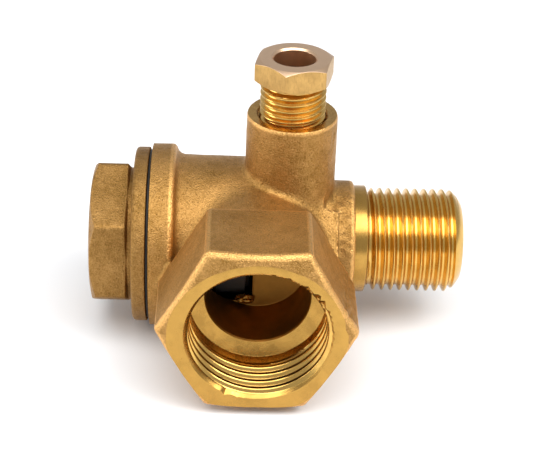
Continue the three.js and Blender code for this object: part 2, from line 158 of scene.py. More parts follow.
def sizes():
    return bpy.context.scene.check_valve_sizes


def colours():
    return bpy.context.scene.check_valve_colours


# ------------------------------------------------------------------ surfaces in numpy


def unit(vectors):
    return vectors / np.maximum(np.linalg.norm(vectors, axis=-1, keepdims=True), 1e-12)


def weld(points, quads):
    """Joins points that coincide; a quad that loses a corner becomes a triangle."""
    _, first, where = np.unique(
        np.round(points, 5), axis=0, return_index=True, return_inverse=True
    )
    quads = where.reshape(-1)[quads]
    same = quads == np.roll(quads, -1, axis=1)
    whole = quads[~same.any(axis=1)]
    pinched = quads[same.sum(axis=1) == 1]
    keep = ~same[same.sum(axis=1) == 1]
    triangles = pinched[keep].reshape(-1, 3)
    return first, whole.tolist() + triangles.tolist()


def outward(points, faces):
    """Turns every face round if the closed surface holds a negative volume."""
    corners = np.array([face[:3] for face in faces])
    extra = np.array([(f[0], f[2], f[3]) for f in faces if len(f) == 4]).reshape(-1, 3)
    a, b, c = (points[np.concatenate((corners, extra))[:, k]] for k in range(3))
    if np.einsum("ij,ij->i", a, np.cross(b, c)).sum() < 0:
        return [face[::-1] for face in faces]
    return faces


class Surface:
    """Points in millimetres, faces, and for each point its place along the tool's path."""

    def __init__(self, points, faces, along=None, edge_wear_and_highlight=None):
        self.points = points
        self.faces = faces
        self.along = np.zeros(len(points)) if along is None else along
        self.edge_wear_and_highlight = np.zeros(len(points)) if edge_wear_and_highlight is None else edge_wear_and_highlight


def grid_surface(points, along):
    """A closed surface from a (rows, columns, 3) grid whose columns run round."""
    rows, columns = points.shape[:2]
    index = np.arange(rows * columns).reshape(rows, columns)
    index = np.concatenate((index, index[:, :1]), axis=1)
    quads = np.stack(
        (index[:-1, :-1], index[:-1, 1:], index[1:, 1:], index[1:, :-1]), axis=-1
    ).reshape(-1, 4)
    flat = points.reshape(-1, 3)
    kept, faces = weld(flat, quads)
    return Surface(flat[kept], outward(flat[kept], faces), along.reshape(-1)[kept])


def rounded(corners, steps=5):
    """A profile through corners (radius, along, rounding), each swapped for an arc.

    The arc of a corner starts and ends rounding / tan(half the corner's angle) away from
    it, about a centre on the corner's bisector. Radius and along may be arrays, one value
    for each angle round the axis, so that a hexagon's profile can change as it goes round.
    """
    shape = np.broadcast_shapes(*(np.shape(v) for corner in corners for v in corner[:2]))
    shape = shape or (1,)
    places = [
        np.stack([np.broadcast_to(np.asarray(v, float), shape) for v in corner[:2]], axis=-1)
        for corner in corners
    ]
    line = [places[0]]
    for k in range(1, len(corners) - 1):
        here = places[k]
        rounding = corners[k][2]
        if rounding == 0:
            line.append(here)
            continue
        before = unit(places[k - 1] - here)
        after = unit(places[k + 1] - here)
        cosine = np.clip((before * after).sum(axis=-1, keepdims=True), -0.99999, 0.99999)
        half = np.arccos(cosine) / 2
        reach = rounding / np.tan(half)
        centre = here + unit(before + after) * rounding / np.sin(half)
        start = here + before * reach - centre
        end = here + after * reach - centre
        sweep = np.pi - 2 * half
        for share in np.linspace(0, 1, steps):
            weight = np.sin((1 - share) * sweep) * start + np.sin(share * sweep) * end
            line.append(centre + weight / np.sin(sweep))
    line.append(places[-1])
    return np.array(line)


ROUND = np.linspace(0, 2 * np.pi, 144, endpoint=False)


def place_round(axis, centre, angles, radius, along):
    """Points at (radius, angle) about an axis through centre, and along it."""
    across = radius * np.cos(angles)
    up = radius * np.sin(angles)
    along = np.broadcast_to(along, across.shape)
    if axis == "x":
        parts = (along, across + centre[0], up + centre[1])
    elif axis == "y":
        parts = (across + centre[0], along, up + centre[1])
    else:
        parts = (across + centre[0], up + centre[1], along)
    return np.stack(parts, axis=-1)


def spin(profile, axis="x", centre=(0, 0), angles=ROUND):
    """A profile carried round an axis; `along` is the length walked down the profile."""
    profile = np.broadcast_to(profile, (len(profile), len(angles), 2))
    walked = np.linalg.norm(np.diff(profile, axis=0, prepend=profile[:1]), axis=-1)
    points = place_round(axis, centre, angles, profile[..., 0], profile[..., 1])
    return grid_surface(points, walked.cumsum(axis=0))


def screw(
    low, high, pitch, span, ends, axis="x", centre=(0, 0), limit=None, segments=112, narrow=1.5
):
    """A right-handed screw between the radii low and high, along span.

    Radius at turn share s is low + depth * h ** narrow, where h is sin(1.25 * sin(2 pi s))
    brought to the range 0 to 1: crest and root are rounded, the flanks are steep, and
    narrow above 1 thins the crest. Rows climb one pitch a turn and are cut off square at
    both ends, where the radius is ends. limit(along) caps the crests.
    """
    rows_a_turn = 12
    start, stop = span
    turns = math.ceil((stop - start) / pitch) + 1
    row = np.arange(-rows_a_turn, turns * rows_a_turn)[:, None]
    step = np.arange(segments)[None, :]
    free = start + pitch * (row / rows_a_turn + step / segments)
    wave = np.sin(1.25 * np.sin(2 * np.pi * row / rows_a_turn)) / math.sin(1.25)
    height = ((1 + wave) / 2) ** narrow
    radius = np.broadcast_to(low + (high - low) * height, free.shape)
    if limit is not None:
        radius = np.minimum(radius, limit(free))
    radius = np.where(free <= start, ends[0], np.where(free >= stop, ends[1], radius))
    along = np.clip(free, start, stop)
    turn_sign = {"x": 1, "y": -1, "z": 1}[axis]
    angles = turn_sign * 2 * np.pi * step / segments
    points = place_round(axis, centre, angles, radius, along)
    caps = [
        place_round(axis, centre, angles, np.zeros_like(radius[:1]), np.full_like(radius[:1], a))
        for a in span
    ]
    joint = rows_a_turn
    left = np.concatenate((caps[0], points, caps[1]))
    index = np.arange(left.shape[0] * segments).reshape(left.shape[0], segments)
    ahead = np.roll(index, -1, axis=1)
    ahead[1:-1 - joint, -1] = index[1 + joint:-1, 0]
    ahead[-1 - joint:-1, -1] = index[-2, 0]
    quads = np.stack((index[:-1], ahead[:-1], ahead[1:], index[1:]), axis=-1).reshape(-1, 4)
    flat = left.reshape(-1, 3)
    walked = np.concatenate((along[:1], along, along[-1:])).reshape(-1)
    kept, faces = weld(flat, quads)
    return Surface(flat[kept], outward(flat[kept], faces), walked[kept])


def hexagon(across_flats, rounding, turn):
    """Angles round a hexagon and its radius at each: straight sides, arcs at corners.

    On a side the radius is half the width across flats over the cosine of the angle from
    the side's middle; on a corner it is the far meeting with the corner's circle.
    """
    flat = across_flats / 2
    reach = (flat - rounding) / math.cos(math.pi / 6)
    edge = math.atan2(rounding * 0.5, reach + rounding * math.cos(math.pi / 6))
    arc = np.linspace(-edge, edge, 7)
    side = np.linspace(edge, math.pi / 3 - edge, 18)[1:-1]
    sector = np.concatenate((arc, side))
    off = np.minimum(sector, math.pi / 3 - sector)
    inside = np.maximum(rounding ** 2 - (reach * np.sin(off)) ** 2, 0)
    radius = np.where(
        np.abs(off) <= edge + 1e-9,
        reach * np.cos(off) + np.sqrt(inside),
        flat / np.cos(math.pi / 6 - off),
    )
    turns = math.radians(turn) + np.arange(6)[:, None] * math.pi / 3
    return (turns + sector).reshape(-1), np.tile(radius, 6)


# ------------------------------------------------------------------ cast skins


def bar_distance(a, b, rounding):
    """Distance to a bar: a is how far out of its side, b how far past its end.

    Inside it is the greater of the two, outside it is the hypotenuse of their positive
    parts, and the rounding is taken off both.
    """
    inside = np.minimum(np.maximum(a, b), 0)
    return inside + np.hypot(np.maximum(a, 0), np.maximum(b, 0)) - rounding


def rod(along, out, radius, low, high, rounding):
    """Signed distance to a round bar with rounded ends."""
    a = out - radius + rounding
    b = np.abs(along - (low + high) / 2) - (high - low) / 2 + rounding
    return bar_distance(a, b, rounding)


def hex_rod(along, u, v, across_flats, low, high, corner, edge):
    """Signed distance to a hexagon bar, flat on top, with rounded corners and ends."""
    flat = across_flats / 2 - corner
    u, v = np.abs(u), np.abs(v)
    mirror = 2 * np.minimum(0.5 * v - math.cos(math.pi / 6) * u, 0)
    u = u + mirror * math.cos(math.pi / 6)
    v = v - mirror * 0.5
    half = flat * math.tan(math.pi / 6)
    across = np.hypot(u - np.clip(u, -half, half), v - flat) * np.sign(v - flat) - corner
    a = across + edge
    b = np.abs(along - (low + high) / 2) - (high - low) / 2 + edge
    return bar_distance(a, b, edge)


def melt(a, b, reach):
    """The nearer of two distances, blended where they differ by less than reach."""
    return np.minimum(a, b) - np.maximum(reach - np.abs(a - b), 0) ** 2 / (4 * reach)


def lumps(points, size, seed):
    """Smooth random values from -1 to 1 on a lattice of the given size."""
    table = np.random.default_rng(seed).uniform(-1, 1, 4096)
    cell = np.floor(points / size).astype(np.int64)
    share = points / size - cell
    share = share * share * (3 - 2 * share)
    total = 0
    for corner in np.ndindex(2, 2, 2):
        key = (cell + corner) @ np.array((73856093, 19349663, 83492791))
        weight = np.prod(np.where(corner, share, 1 - share), axis=-1)
        total = total + weight * table[key % 4096]
    return total


def skin(distance, low, high, step):
    """The surface where a signed distance is nought, as quads.

    The distance is sampled on a lattice, the lattice is meshed, and each point is then
    moved twice along the distance's gradient onto the surface itself. The sum of the
    distance's second differences is the surface's bend, which is high on an outer edge,
    and gives the share there of worn edge and of painted edge highlight.
    """
    axes = [np.arange(a, b + step, step) for a, b in zip(low, high)]
    field = distance(*np.meshgrid(*axes, indexing="ij", sparse=True)).astype(np.float32)
    lattice = openvdb.FloatGrid(3 * step)
    lattice.copyFromArray(np.clip(field, -3 * step, 3 * step))
    points, _, quads = lattice.convertToPolygons(isovalue=0)
    points = np.array(low) + points.astype(float) * step
    nudge = 0.02
    for _ in range(2):
        slope = np.stack([
            distance(*(points + shift).T) - distance(*(points - shift).T)
            for shift in nudge * np.eye(3)
        ], axis=-1) / (2 * nudge)
        weight = np.maximum((slope ** 2).sum(axis=-1, keepdims=True), 0.2)
        points -= slope * distance(*points.T)[:, None] / weight
    reach = 0.2
    here = distance(*points.T)
    bend = sum(
        distance(*(points + shift).T) + distance(*(points - shift).T) - 2 * here
        for shift in reach * np.eye(3)
    ) / reach ** 2
    # High bend marks outer edges, which get real edge wear and also a painted highlight.
    edge_wear_and_highlight = np.clip((bend - 0.22) / 0.5, 0, 1)
    return Surface(points, quads.tolist(), edge_wear_and_highlight=edge_wear_and_highlight), unit(slope)


# ------------------------------------------------------------------ meshes


CAST, TURNED, BORED_SHADED, THREADED = 0, 1, 2, 3
TOOL_PATH = "tool_path"          # UV layer: metres along the turning tool's path, and the share of worn edge and painted edge highlight


def make_object(name, surface, finish=CAST, materials=()):
    """A mesh object at the origin, its points in the frame, every face in one finish."""
    mesh = bpy.data.meshes.new(name)
    mesh.from_pydata((surface.points * MM + AXES).tolist(), [], surface.faces)
    for material in materials:
        mesh.materials.append(material)
    mesh.polygons.foreach_set("material_index", np.full(len(mesh.polygons), finish, np.int32))
    corner = np.zeros(len(mesh.loops), np.int32)
    mesh.loops.foreach_get("vertex_index", corner)
    layer = mesh.uv_layers.new(name=TOOL_PATH)
    path = np.zeros((len(corner), 2), np.float32)
    path[:, 0] = surface.along[corner] * MM
    path[:, 1] = surface.edge_wear_and_highlight[corner]
    layer.data.foreach_set("uv", path.reshape(-1))
    mesh.update()
    made = bpy.data.objects.new(name, mesh)
    bpy.context.scene.collection.objects.link(made)
    return made


def shade(piece, degrees=32):
    """Smooth shading with creases where faces meet at more than the given angle."""
    mesh = piece.data
    mesh.polygons.foreach_set("use_smooth", np.ones(len(mesh.polygons), bool))
    mesh.set_sharp_from_angle(angle=math.radians(degrees))


def carve(name, base, joined, cut, materials):
    """base with the joined solids added and then the cut ones taken away, as one mesh."""
    work = [make_object("work", base[0], base[1], materials)]
    for operation, tools in (("UNION", joined), ("DIFFERENCE", cut)):
        for surface, finish in tools:
            tool = make_object("work", surface, finish, materials)
            step = work[0].modifiers.new(operation, "BOOLEAN")
            step.operation = operation
            step.solver = "MANIFOLD"
            step.object = tool
            work.append(tool)
    bpy.context.view_layer.update()
    graph = bpy.context.evaluated_depsgraph_get()
    mesh = bpy.data.meshes.new_from_object(work[0].evaluated_get(graph))
    for thing in work:
        data = thing.data
        bpy.data.objects.remove(thing)
        bpy.data.meshes.remove(data)
    mesh.name = name
    made = bpy.data.objects.new(name, mesh)
    bpy.context.scene.collection.objects.link(made)
    if len(mesh.polygons) == 0:
        raise RuntimeError(f"{name} came out empty")
    return made


# ------------------------------------------------------------------ shader sums


class Wire:
    """An output socket that can stand in a Python sum: each operator adds a Math node."""

    def __init__(self, kit, socket):
        self.kit = kit
        self.socket = socket

    def __add__(self, other):
        return self.kit.maths("ADD", self, other)

    def __sub__(self, other):
        return self.kit.maths("SUBTRACT", self, other)

    def __rsub__(self, other):
        return self.kit.maths("SUBTRACT", other, self)

    def __mul__(self, other):
        return self.kit.maths("MULTIPLY", self, other)

    def __truediv__(self, other):
        return self.kit.maths("DIVIDE", self, other)

    def __pow__(self, other):
        return self.kit.maths("POWER", self, other)

    __radd__ = __add__
    __rmul__ = __mul__

    def clamped(self):
        return self.kit.maths("ADD", self, 0, clamp=True)


class Finish:
    """One material's node tree."""

    def __init__(self, name):
        self.material = bpy.data.materials.new(name)
        self.material.use_nodes = True
        self.tree = self.material.node_tree
        self.tree.nodes.clear()
        self.output = self.tree.nodes.new("ShaderNodeOutputMaterial")
        self.shader = self.tree.nodes.new("ShaderNodeBsdfPrincipled")
        self.tree.links.new(self.shader.outputs[0], self.output.inputs["Surface"])
        self.place = self.node("ShaderNodeTexCoord").outputs["Object"]

    def node(self, kind, settings=None, inputs=None):
        """Adds a node: its settings first, then the values or wires of its sockets."""
        made = self.tree.nodes.new(kind)
        for name, value in (settings or {}).items():
            setattr(made, name, value)
        for name, value in (inputs or {}).items():
            self.feed(made.inputs[name], value)
        return made

    def feed(self, socket, value):
        if isinstance(value, Wire):
            self.tree.links.new(value.socket, socket)
        elif isinstance(value, bpy.types.NodeSocket):
            self.tree.links.new(value, socket)
        else:
            socket.default_value = value

    def maths(self, operation, a, b, clamp=False):
        made = self.node("ShaderNodeMath", {"operation": operation, "use_clamp": clamp})
        self.feed(made.inputs[0], a)
        self.feed(made.inputs[1], b)
        return Wire(self, made.outputs[0])

    def noise(self, feature, detail=2.0, rough=0.5, stretch=(1, 1, 1)):
        """Noise from 0 to 1 with features of the given size in millimetres."""
        scaled = self.node(
            "ShaderNodeMapping", {"vector_type": "POINT"},
            {"Vector": self.place, "Scale": tuple(s / (feature * MM) for s in stretch)},
        )
        made = self.node("ShaderNodeTexNoise", None, {
            "Vector": scaled.outputs[0], "Scale": 1.0, "Detail": detail, "Roughness": rough,
        })
        return Wire(self, made.outputs["Fac"])

    def cells(self, feature):
        """Distance to the nearest of scattered points, in cells of that size."""
        made = self.node("ShaderNodeTexVoronoi", None, {
            "Vector": self.place, "Scale": 1 / (feature * MM),
        })
        return Wire(self, made.outputs["Distance"])

    def spread(self, value, low, high):
        """Stretches a value so that low becomes 0 and high becomes 1."""
        return ((value - low) / (high - low)).clamped()

    def path(self):
        """Length along the tool's path in metres, and share of worn edge and painted edge
        highlight.
        """
        layer = self.node("ShaderNodeUVMap", {"uv_map": TOOL_PATH}).outputs[0]
        parts = self.node("ShaderNodeSeparateXYZ", None, {"Vector": layer})
        return Wire(self, parts.outputs[0]), Wire(self, parts.outputs[1])

    def tool_lines(self, feature, wobble=0.0):
        """Noise along the turning tool's path only, so that it runs in rings."""
        walked = self.path()[0] / (feature * MM)
        if wobble:
            walked = walked + self.noise(6) * wobble
        made = self.node(
            "ShaderNodeTexNoise", {"noise_dimensions": "1D"},
            {"W": walked, "Scale": 1.0, "Detail": 3.0, "Roughness": 0.6},
        )
        return Wire(self, made.outputs["Fac"])

    def blend(self, share, first, second):
        """Colour from first to second as share goes from 0 to 1."""
        made = self.node("ShaderNodeMix", {"data_type": "RGBA"})
        self.feed(made.inputs["Factor"], share)
        colour_inputs = [s for s in made.inputs if s.type == "RGBA"]
        for socket, value in zip(colour_inputs, (first, second)):
            plain = not isinstance(value, (Wire, bpy.types.NodeSocket))
            self.feed(socket, (*value, 1) if plain else value)
        return [s for s in made.outputs if s.type == "RGBA"][0]

    def bump(self, height, depth, strength=1.0):
        """A normal that stands for a height of 0 to 1 times depth in millimetres."""
        return self.node("ShaderNodeBump", None, {
            "Height": height, "Distance": depth * MM, "Strength": strength,
        }).outputs[0]

    def finish(self, **sockets):
        """Feeds the shader's sockets, named with underscores for spaces."""
        for name, value in sockets.items():
            self.feed(self.shader.inputs[name.replace("_", " ").title()], value)
        return self.material


def tone(rgb, factor):
    return tuple(min(channel * factor, 1) for channel in rgb)


def cast_brass(name, darker=1.0):
    """Sand-cast brass: fine grain, pits, brown toning in patches, bright on outer edges, partly
    worn and partly a painted highlight.
    """
    f = Finish(name)
    light = tone(colours().cast_light, darker)
    dark = tone(colours().cast_dark, darker)
    grain = f.noise(0.30, 2, 0.65)
    mottle = f.noise(1.4, 4, 0.6)
    patch = f.noise(8, 3, 0.5)
    toned = f.spread(grain + mottle * 0.5 + patch * 0.6, 0.70, 1.40)
    base = f.blend(toned, dark, light)
    pits = f.spread(f.cells(0.7), 0.05, 0.30)
    base = f.blend((1 - pits) * 0.35, base, tone(dark, 0.45))
    # Outer edges are painted brighter: partly worn metal, partly a painted highlight where light
    # catches the edge.
    rubbed_and_highlight = (f.path()[1] * (0.45 + f.spread(grain, 0.35, 0.65))).clamped()
    base = f.blend(rubbed_and_highlight * 0.8, base, tone(light, 1.35))
    rough = 0.38 + grain * 0.14 + (1 - f.spread(mottle, 0.3, 0.7)) * 0.08 - rubbed_and_highlight * 0.12
    height = grain * 0.75 + mottle * 0.25 + pits * 0.25
    return f.finish(
        base_color=base, metallic=0.97, roughness=rough,
        normal=f.bump(height, 0.22, 1.0),
    )


def turned_brass(name, rgb, rough, lines):
    """Brass off the lathe: rings along the tool's path and faint stains."""
    f = Finish(name)
    rings = f.tool_lines(lines, 0.4)
    fine = f.tool_lines(lines / 4)
    stain = f.noise(3.2, 4, 0.6)
    base = f.blend(f.spread(stain, 0.35, 0.75), rgb, tone(rgb, 0.78))
    return f.finish(
        base_color=base, metallic=1.0,
        roughness=rough + rings * 0.08 + f.spread(stain, 0.4, 0.8) * 0.08,
        normal=f.bump(rings * 0.6 + fine * 0.4, 0.014, 0.7),
    )


def nut_brass(name):
    """Bar brass: drawn sides with scratches along them, a paler turned end and bore."""
    f = Finish(name)
    normal = f.node("ShaderNodeNewGeometry").outputs["Normal"]
    facing = f.node("ShaderNodeSeparateXYZ", None, {"Vector": normal}).outputs[2]
    end = f.spread(Wire(f, facing), 0.3, 0.5)
    place = f.node("ShaderNodeSeparateXYZ", None, {"Vector": f.place})
    aside = Wire(f, place.outputs[0]) - (AXES[0] + BOSS_X * MM)
    back = Wire(f, place.outputs[1]) - AXES[1]
    from_axis = (aside * aside + back * back) ** 0.5
    bore = 1 - f.spread(from_axis, 4.5 * MM, 4.7 * MM)
    turned = f.maths("MAXIMUM", end, bore)
    stain = f.noise(2.2, 4, 0.6)
    scratch = f.spread(f.noise(0.16, 3, 0.7, stretch=(1, 1, 0.10)), 0.5, 0.75)
    crossing = f.spread(f.noise(0.12, 3, 0.7, stretch=(0.12, 0.12, 1)), 0.55, 0.75)
    marks = (scratch + crossing * 0.6).clamped() * (1 - turned)
    drawn = tuple(colours().nut_side)
    side = f.blend(f.spread(stain, 0.3, 0.7), drawn, tone(drawn, 0.75))
    side = f.blend(marks * 0.55, side, tone(drawn, 0.4))
    paler = f.blend(stain * 0.5, tuple(colours().nut), tone(colours().nut, 0.8))
    return f.finish(
        base_color=f.blend(turned, side, paler), metallic=1.0,
        roughness=0.27 + stain * 0.1 + marks * 0.15,
        normal=f.bump(marks * -0.5 + f.tool_lines(0.12) * turned * 0.5, 0.02, 0.7),
    )


def rubber(name):
    f = Finish(name)
    dust = f.spread(f.noise(0.8, 4, 0.7), 0.5, 0.8)
    base = f.blend(dust * 0.5, tuple(colours().rubber), tone(colours().rubber, 3))
    return f.finish(
        base_color=base, roughness=0.55 + dust * 0.2, normal=f.bump(f.noise(0.2), 0.02, 0.5),
    )


def moulding(name):
    """Grey moulded plastic with a fine sparked texture and faint flow marks."""
    f = Finish(name)
    flow = f.noise(4, 3, 0.5, stretch=(0.3, 1, 1))
    base = f.blend(flow, tuple(colours().piston), tone(colours().piston, 1.8))
    return f.finish(
        base_color=base, roughness=0.42 + flow * 0.16,
        normal=f.bump(f.noise(0.18, 1), 0.012, 0.5),
    )


def spring_steel(name):
    f = Finish(name)
    drawn = f.tool_lines(0.05)
    stain = f.noise(1.5, 3)
    base = f.blend(stain * 0.6, tuple(colours().steel), tone(colours().steel, 0.6))
    return f.finish(
        base_color=base, metallic=1.0, roughness=0.25 + stain * 0.15,
        normal=f.bump(drawn, 0.005, 0.4),
    )


# ------------------------------------------------------------------ body


def body_distance(x, y, z):
    """Signed distance to the casting before any machining.

    The bars of the barrel, flange, neck, port and boss are melted together, with a flat
    web between the port's hexagon and the neck. The hexagon's end falls away as a cone.
    """
    s = sizes()
    barrel_radius = s.barrel_radius / MM
    from_flow = np.hypot(y, z)
    from_port = np.hypot(x, z)
    from_boss = np.hypot(x - BOSS_X, y)
    draft = 0.012 * (x + 16)
    barrel = rod(x, from_flow, barrel_radius, -22, 8.2, 2.6) + draft
    flange = rod(x, from_flow, s.flange_radius / MM, -24, -16.5, 0.8)
    neck = rod(x, from_flow, s.neck_radius / MM, -2, 19.5, 0.7)
    port_neck = rod(y, from_port, s.port_neck_radius / MM, -19, 1, 2)
    facet = 0.233 * x - 0.64 * y + 0.73 * z - 15.5
    web = np.maximum(facet, np.maximum(x - 15.8, np.abs(y + 12) - 5))
    web = np.maximum(web, 4 - np.minimum(x, z + 4))
    hexagon_bar = hex_rod(y, x, z, s.port_flats / MM, -38, -18.2, 1.1, 0.35)
    end_face = (0.4 * (np.hypot(0.97 * x, z + 1.5) - 16.4) - (y - PORT_FACE)) * 0.93
    hexagon_bar = -melt(-hexagon_bar, -end_face, 0.9)
    boss_radius = s.boss_radius / MM + 0.012 * (s.boss_height / MM - z)
    boss = rod(z, from_boss - boss_radius, 0, 0, s.boss_height / MM + 0.25, 0.7)
    core = melt(barrel, neck, 2.4)
    core = melt(core, port_neck, 1.5)
    core = melt(core, web, 0.9)
    core = melt(core, flange, 2.2)
    core = melt(core, hexagon_bar, 0.9)
    return melt(core, boss, s.foot_fillet / MM)


def casting():
    """The cast skin, with shallow waves everywhere and rough sand marks on the neck."""
    surface, slope = skin(body_distance, (-25, -39, -20), (20.5, 20, 30), sizes().skin_step / MM)
    p = surface.points
    waves = 0.055 * lumps(p, 5.5, 3) + 0.03 * lumps(p, 1.7, 5)
    sand = np.exp(-(((p[:, 0] - 17.5) / 2.2) ** 2 + ((p[:, 2] - 5) / 6) ** 2)) * (p[:, 1] < 0)
    foot = np.exp(-(((p[:, 0] - 15) / 1.6) ** 2 + ((p[:, 1] + 5) / 3) ** 2)) * (p[:, 2] > 5)
    rough = 0.26 * (sand + 0.6 * foot) * lumps(p, 0.8, 9)
    surface.points = p + slope * (waves + rough)[:, None]
    return surface


def pump_thread():
    """Collar and thread of the pump port, the thread's end rounded to a nose."""
    nose = 7.9
    major, minor = 10.4775, 9.32

    def limit(along):
        share = np.clip((along - 38.6) / (PUMP_END - 38.6), 0, 1)
        ramp = minor + np.clip((along - 22.5) / 0.7, 0, 1) * (major - minor)
        return np.minimum(ramp, major - (major - nose) * share ** 1.9)

    collar = spin(rounded([
        (0, 18, 0), (10.88, 18, 0), (10.88, 22, 0.35), (9.3, 22.3, 0.2), (9.3, 23.5, 0),
        (0, 23.5, 0),
    ]))
    thread = screw(
        minor, major, INCH / 14, (22.4, PUMP_END), (minor, nose), limit=limit, segments=128,
    )
    return collar, thread


def port_cutters():
    """Face, mouth, thread, relief, shoulder and flat-bottomed bore of the tank port.

    The mouth's edge is chipped along its upper right and once at the lower left: chips
    are cubed random depths times powers of the cosine of the angle from those places.
    """
    far = PORT_FACE - 12
    jag = np.random.default_rng(4).uniform(0, 1, len(ROUND)) ** 3
    side = np.clip(np.cos(ROUND - math.radians(34)), 0, 1) ** 5
    low = np.clip(np.cos(ROUND + math.radians(112)), 0, 1) ** 60
    chips = 0.75 * jag * (side + low)
    bore = spin(rounded([
        (0, PORT_SHOULDER, 0), (10.2, PORT_SHOULDER, 0), (10.6, -22.3, 0.15),
        (PORT_RELIEF, -23.0, 0.15), (PORT_RELIEF, -25.3, 0.15), (PORT_CREST, -25.5, 0.1),
        (PORT_CREST, PORT_FACE + 1.4, 0.1),
        (13.4 + chips, PORT_FACE + 0.6, 0), (13.95 + chips, PORT_FACE, 0),
        (40, PORT_FACE, 0), (40, far, 0), (0, far, 0),
    ]), "y", PORT_CENTRE)
    inner = spin(rounded([
        (0, PORT_FLOOR, 0), (PORT_BORE, PORT_FLOOR, 0.25), (PORT_BORE, -21.9, 0.1),
        (10.4, -22.3, 0),
        (0, -22.3, 0),
    ]), "y", PORT_CENTRE)
    thread = screw(
        13.05, 14.0, INCH / 11, (PORT_FACE - 2.2, -25.2), (14.0, PORT_RELIEF), "y", PORT_CENTRE,
        segments=128, narrow=1.7,
    )
    return (bore, TURNED), (thread, THREADED), (inner, BORED_SHADED)


def chamber_cutters():
    """Flange face, piston chamber with its cap thread, raised seat and pump passage."""
    far = FLANGE_FACE - 8
    chamber = spin(rounded([
        (0, far, 0), (40, far, 0), (40, FLANGE_FACE, 0), (14.3, FLANGE_FACE, 0.1),
        (13.6, FLANGE_FACE + 0.7, 0.1), (13.6, -0.6, 0.4), (8.5, -0.6, 0.2), (8.2, -1.2, 0.15),
        (7.1, -1.2, 0.15), (6.5, -0.6, 0.1), (6.5, PUMP_END - 0.5, 0.1), (7.0, PUMP_END, 0.05),
        (7.0, PUMP_END + 3, 0), (0, PUMP_END + 3, 0),
    ]))
    thread = screw(13.5, 14.2, 1.5, (FLANGE_FACE - 1, -13), (14, 13.5), segments=96)
    return (chamber, BORED_SHADED), (thread, TURNED)


def boss_cutters():
    """Rim, thread, tube seat and the passage down to the pump side."""
    top = sizes().boss_height / MM
    hole = spin(rounded([
        (0, 0, 0), (3.1, 0, 0), (3.1, 16, 0.1), (3.7, 16, 0.1), (6.0, 18.9, 0.1), (6.55, 18.9, 0),
        (6.55, top - 0.5, 0.1), (7.05, top, 0.05), (13, top, 0), (13, top + 20, 0),
        (0, top + 20, 0),
    ]), "z", (BOSS_X, 0))
    thread = screw(
        6.5, 7.0, INCH / 19, (20, top + 1), (6.5, 7), "z", (BOSS_X, 0), segments=64,
    )
    return (hole, TURNED), (thread, THREADED)


def flash():
    """A torn scrap of metal left on the edge where two bores break into each other.

    It is a ball drawn out along X, its radius varied by two sizes of random lumps.
    """
    across = np.linspace(0, np.pi, 40)[:, None]
    round_it = np.linspace(0, 2 * np.pi, 64, endpoint=False)[None, :]
    ball = np.stack((
        np.cos(across) * np.ones_like(round_it),
        np.sin(across) * np.cos(round_it),
        np.sin(across) * np.sin(round_it),
    ), axis=-1)
    flat = ball.reshape(-1, 3)
    swell = 1 + 0.38 * lumps(flat + 7, 0.55, 12) + 0.16 * lumps(flat, 0.2, 13)
    ball = ball * swell.reshape(*ball.shape[:2], 1)
    middle = np.array((-2.2, -10.6, -8.5))
    return grid_surface(middle + ball * np.array((1.9, 0.9, 0.85)), np.zeros(ball.shape[:2]))


class CHECKVALVE_OT_body(bpy.types.Operator):
    """Makes the cast and machined body and the scrap of flash in its port."""

    bl_idname = "check_valve.body"
    bl_label = "Make body"

    def execute(self, context):
        materials = (
            cast_brass("cast brass"),
            turned_brass("turned brass", tuple(colours().turned), 0.20, 0.12),
            # Bored brass is a darker copy of turned brass: painted shade in the deep bores, with
            # a rougher finish from the drill.
            turned_brass("bored brass", tuple(colours().bored_shaded), 0.34, 0.2),
            turned_brass("threaded brass", tuple(colours().threaded), 0.17, 0.10),
        )
        collar, thread = pump_thread()
        joined = [(collar, TURNED), (thread, THREADED)]
        cut = port_cutters() + chamber_cutters() + boss_cutters()
        piece = carve("body_casting", (casting(), CAST), joined, cut, materials)
        shade(piece, 38)
        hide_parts("valve_body")
        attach(piece, "valve")
        scrap = make_object("casting_flash", flash(), CAST, materials[1:2])
        shade(scrap, 60)
        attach(scrap, "valve")
        return {"FINISHED"}


# ------------------------------------------------------------------ cap and seal


def cap_head():
    """Hexagon with a turned-off end, round neck, flange and plug, as one closed surface."""
    angles, hexagon_radius = hexagon(sizes().cap_flats / MM, 1.3, 26)
    flange_back = CAP_FACE - 2.8
    end_circle = 13.2
    chamfer = CAP_END + 0.62 * (hexagon_radius - end_circle)
    foot = flange_back - 1.2
    profile = rounded([
        (0, CAP_END, 0), (end_circle - 1.2, CAP_END, 0.4), (end_circle, CAP_END + 0.25, 0.3),
        (hexagon_radius, chamfer, 0.22), (hexagon_radius, foot, 0.3),
        (13.4, foot + 0.3, 0.1), (13.4, flange_back, 0.3),
        (17.7, flange_back, 0.75), (17.7, CAP_FACE, 0.2), (12.6, CAP_FACE, 0),
        (12.6, PLUG_END, 0.3), (0, PLUG_END, 0),
    ])
    return spin(profile, angles=angles)


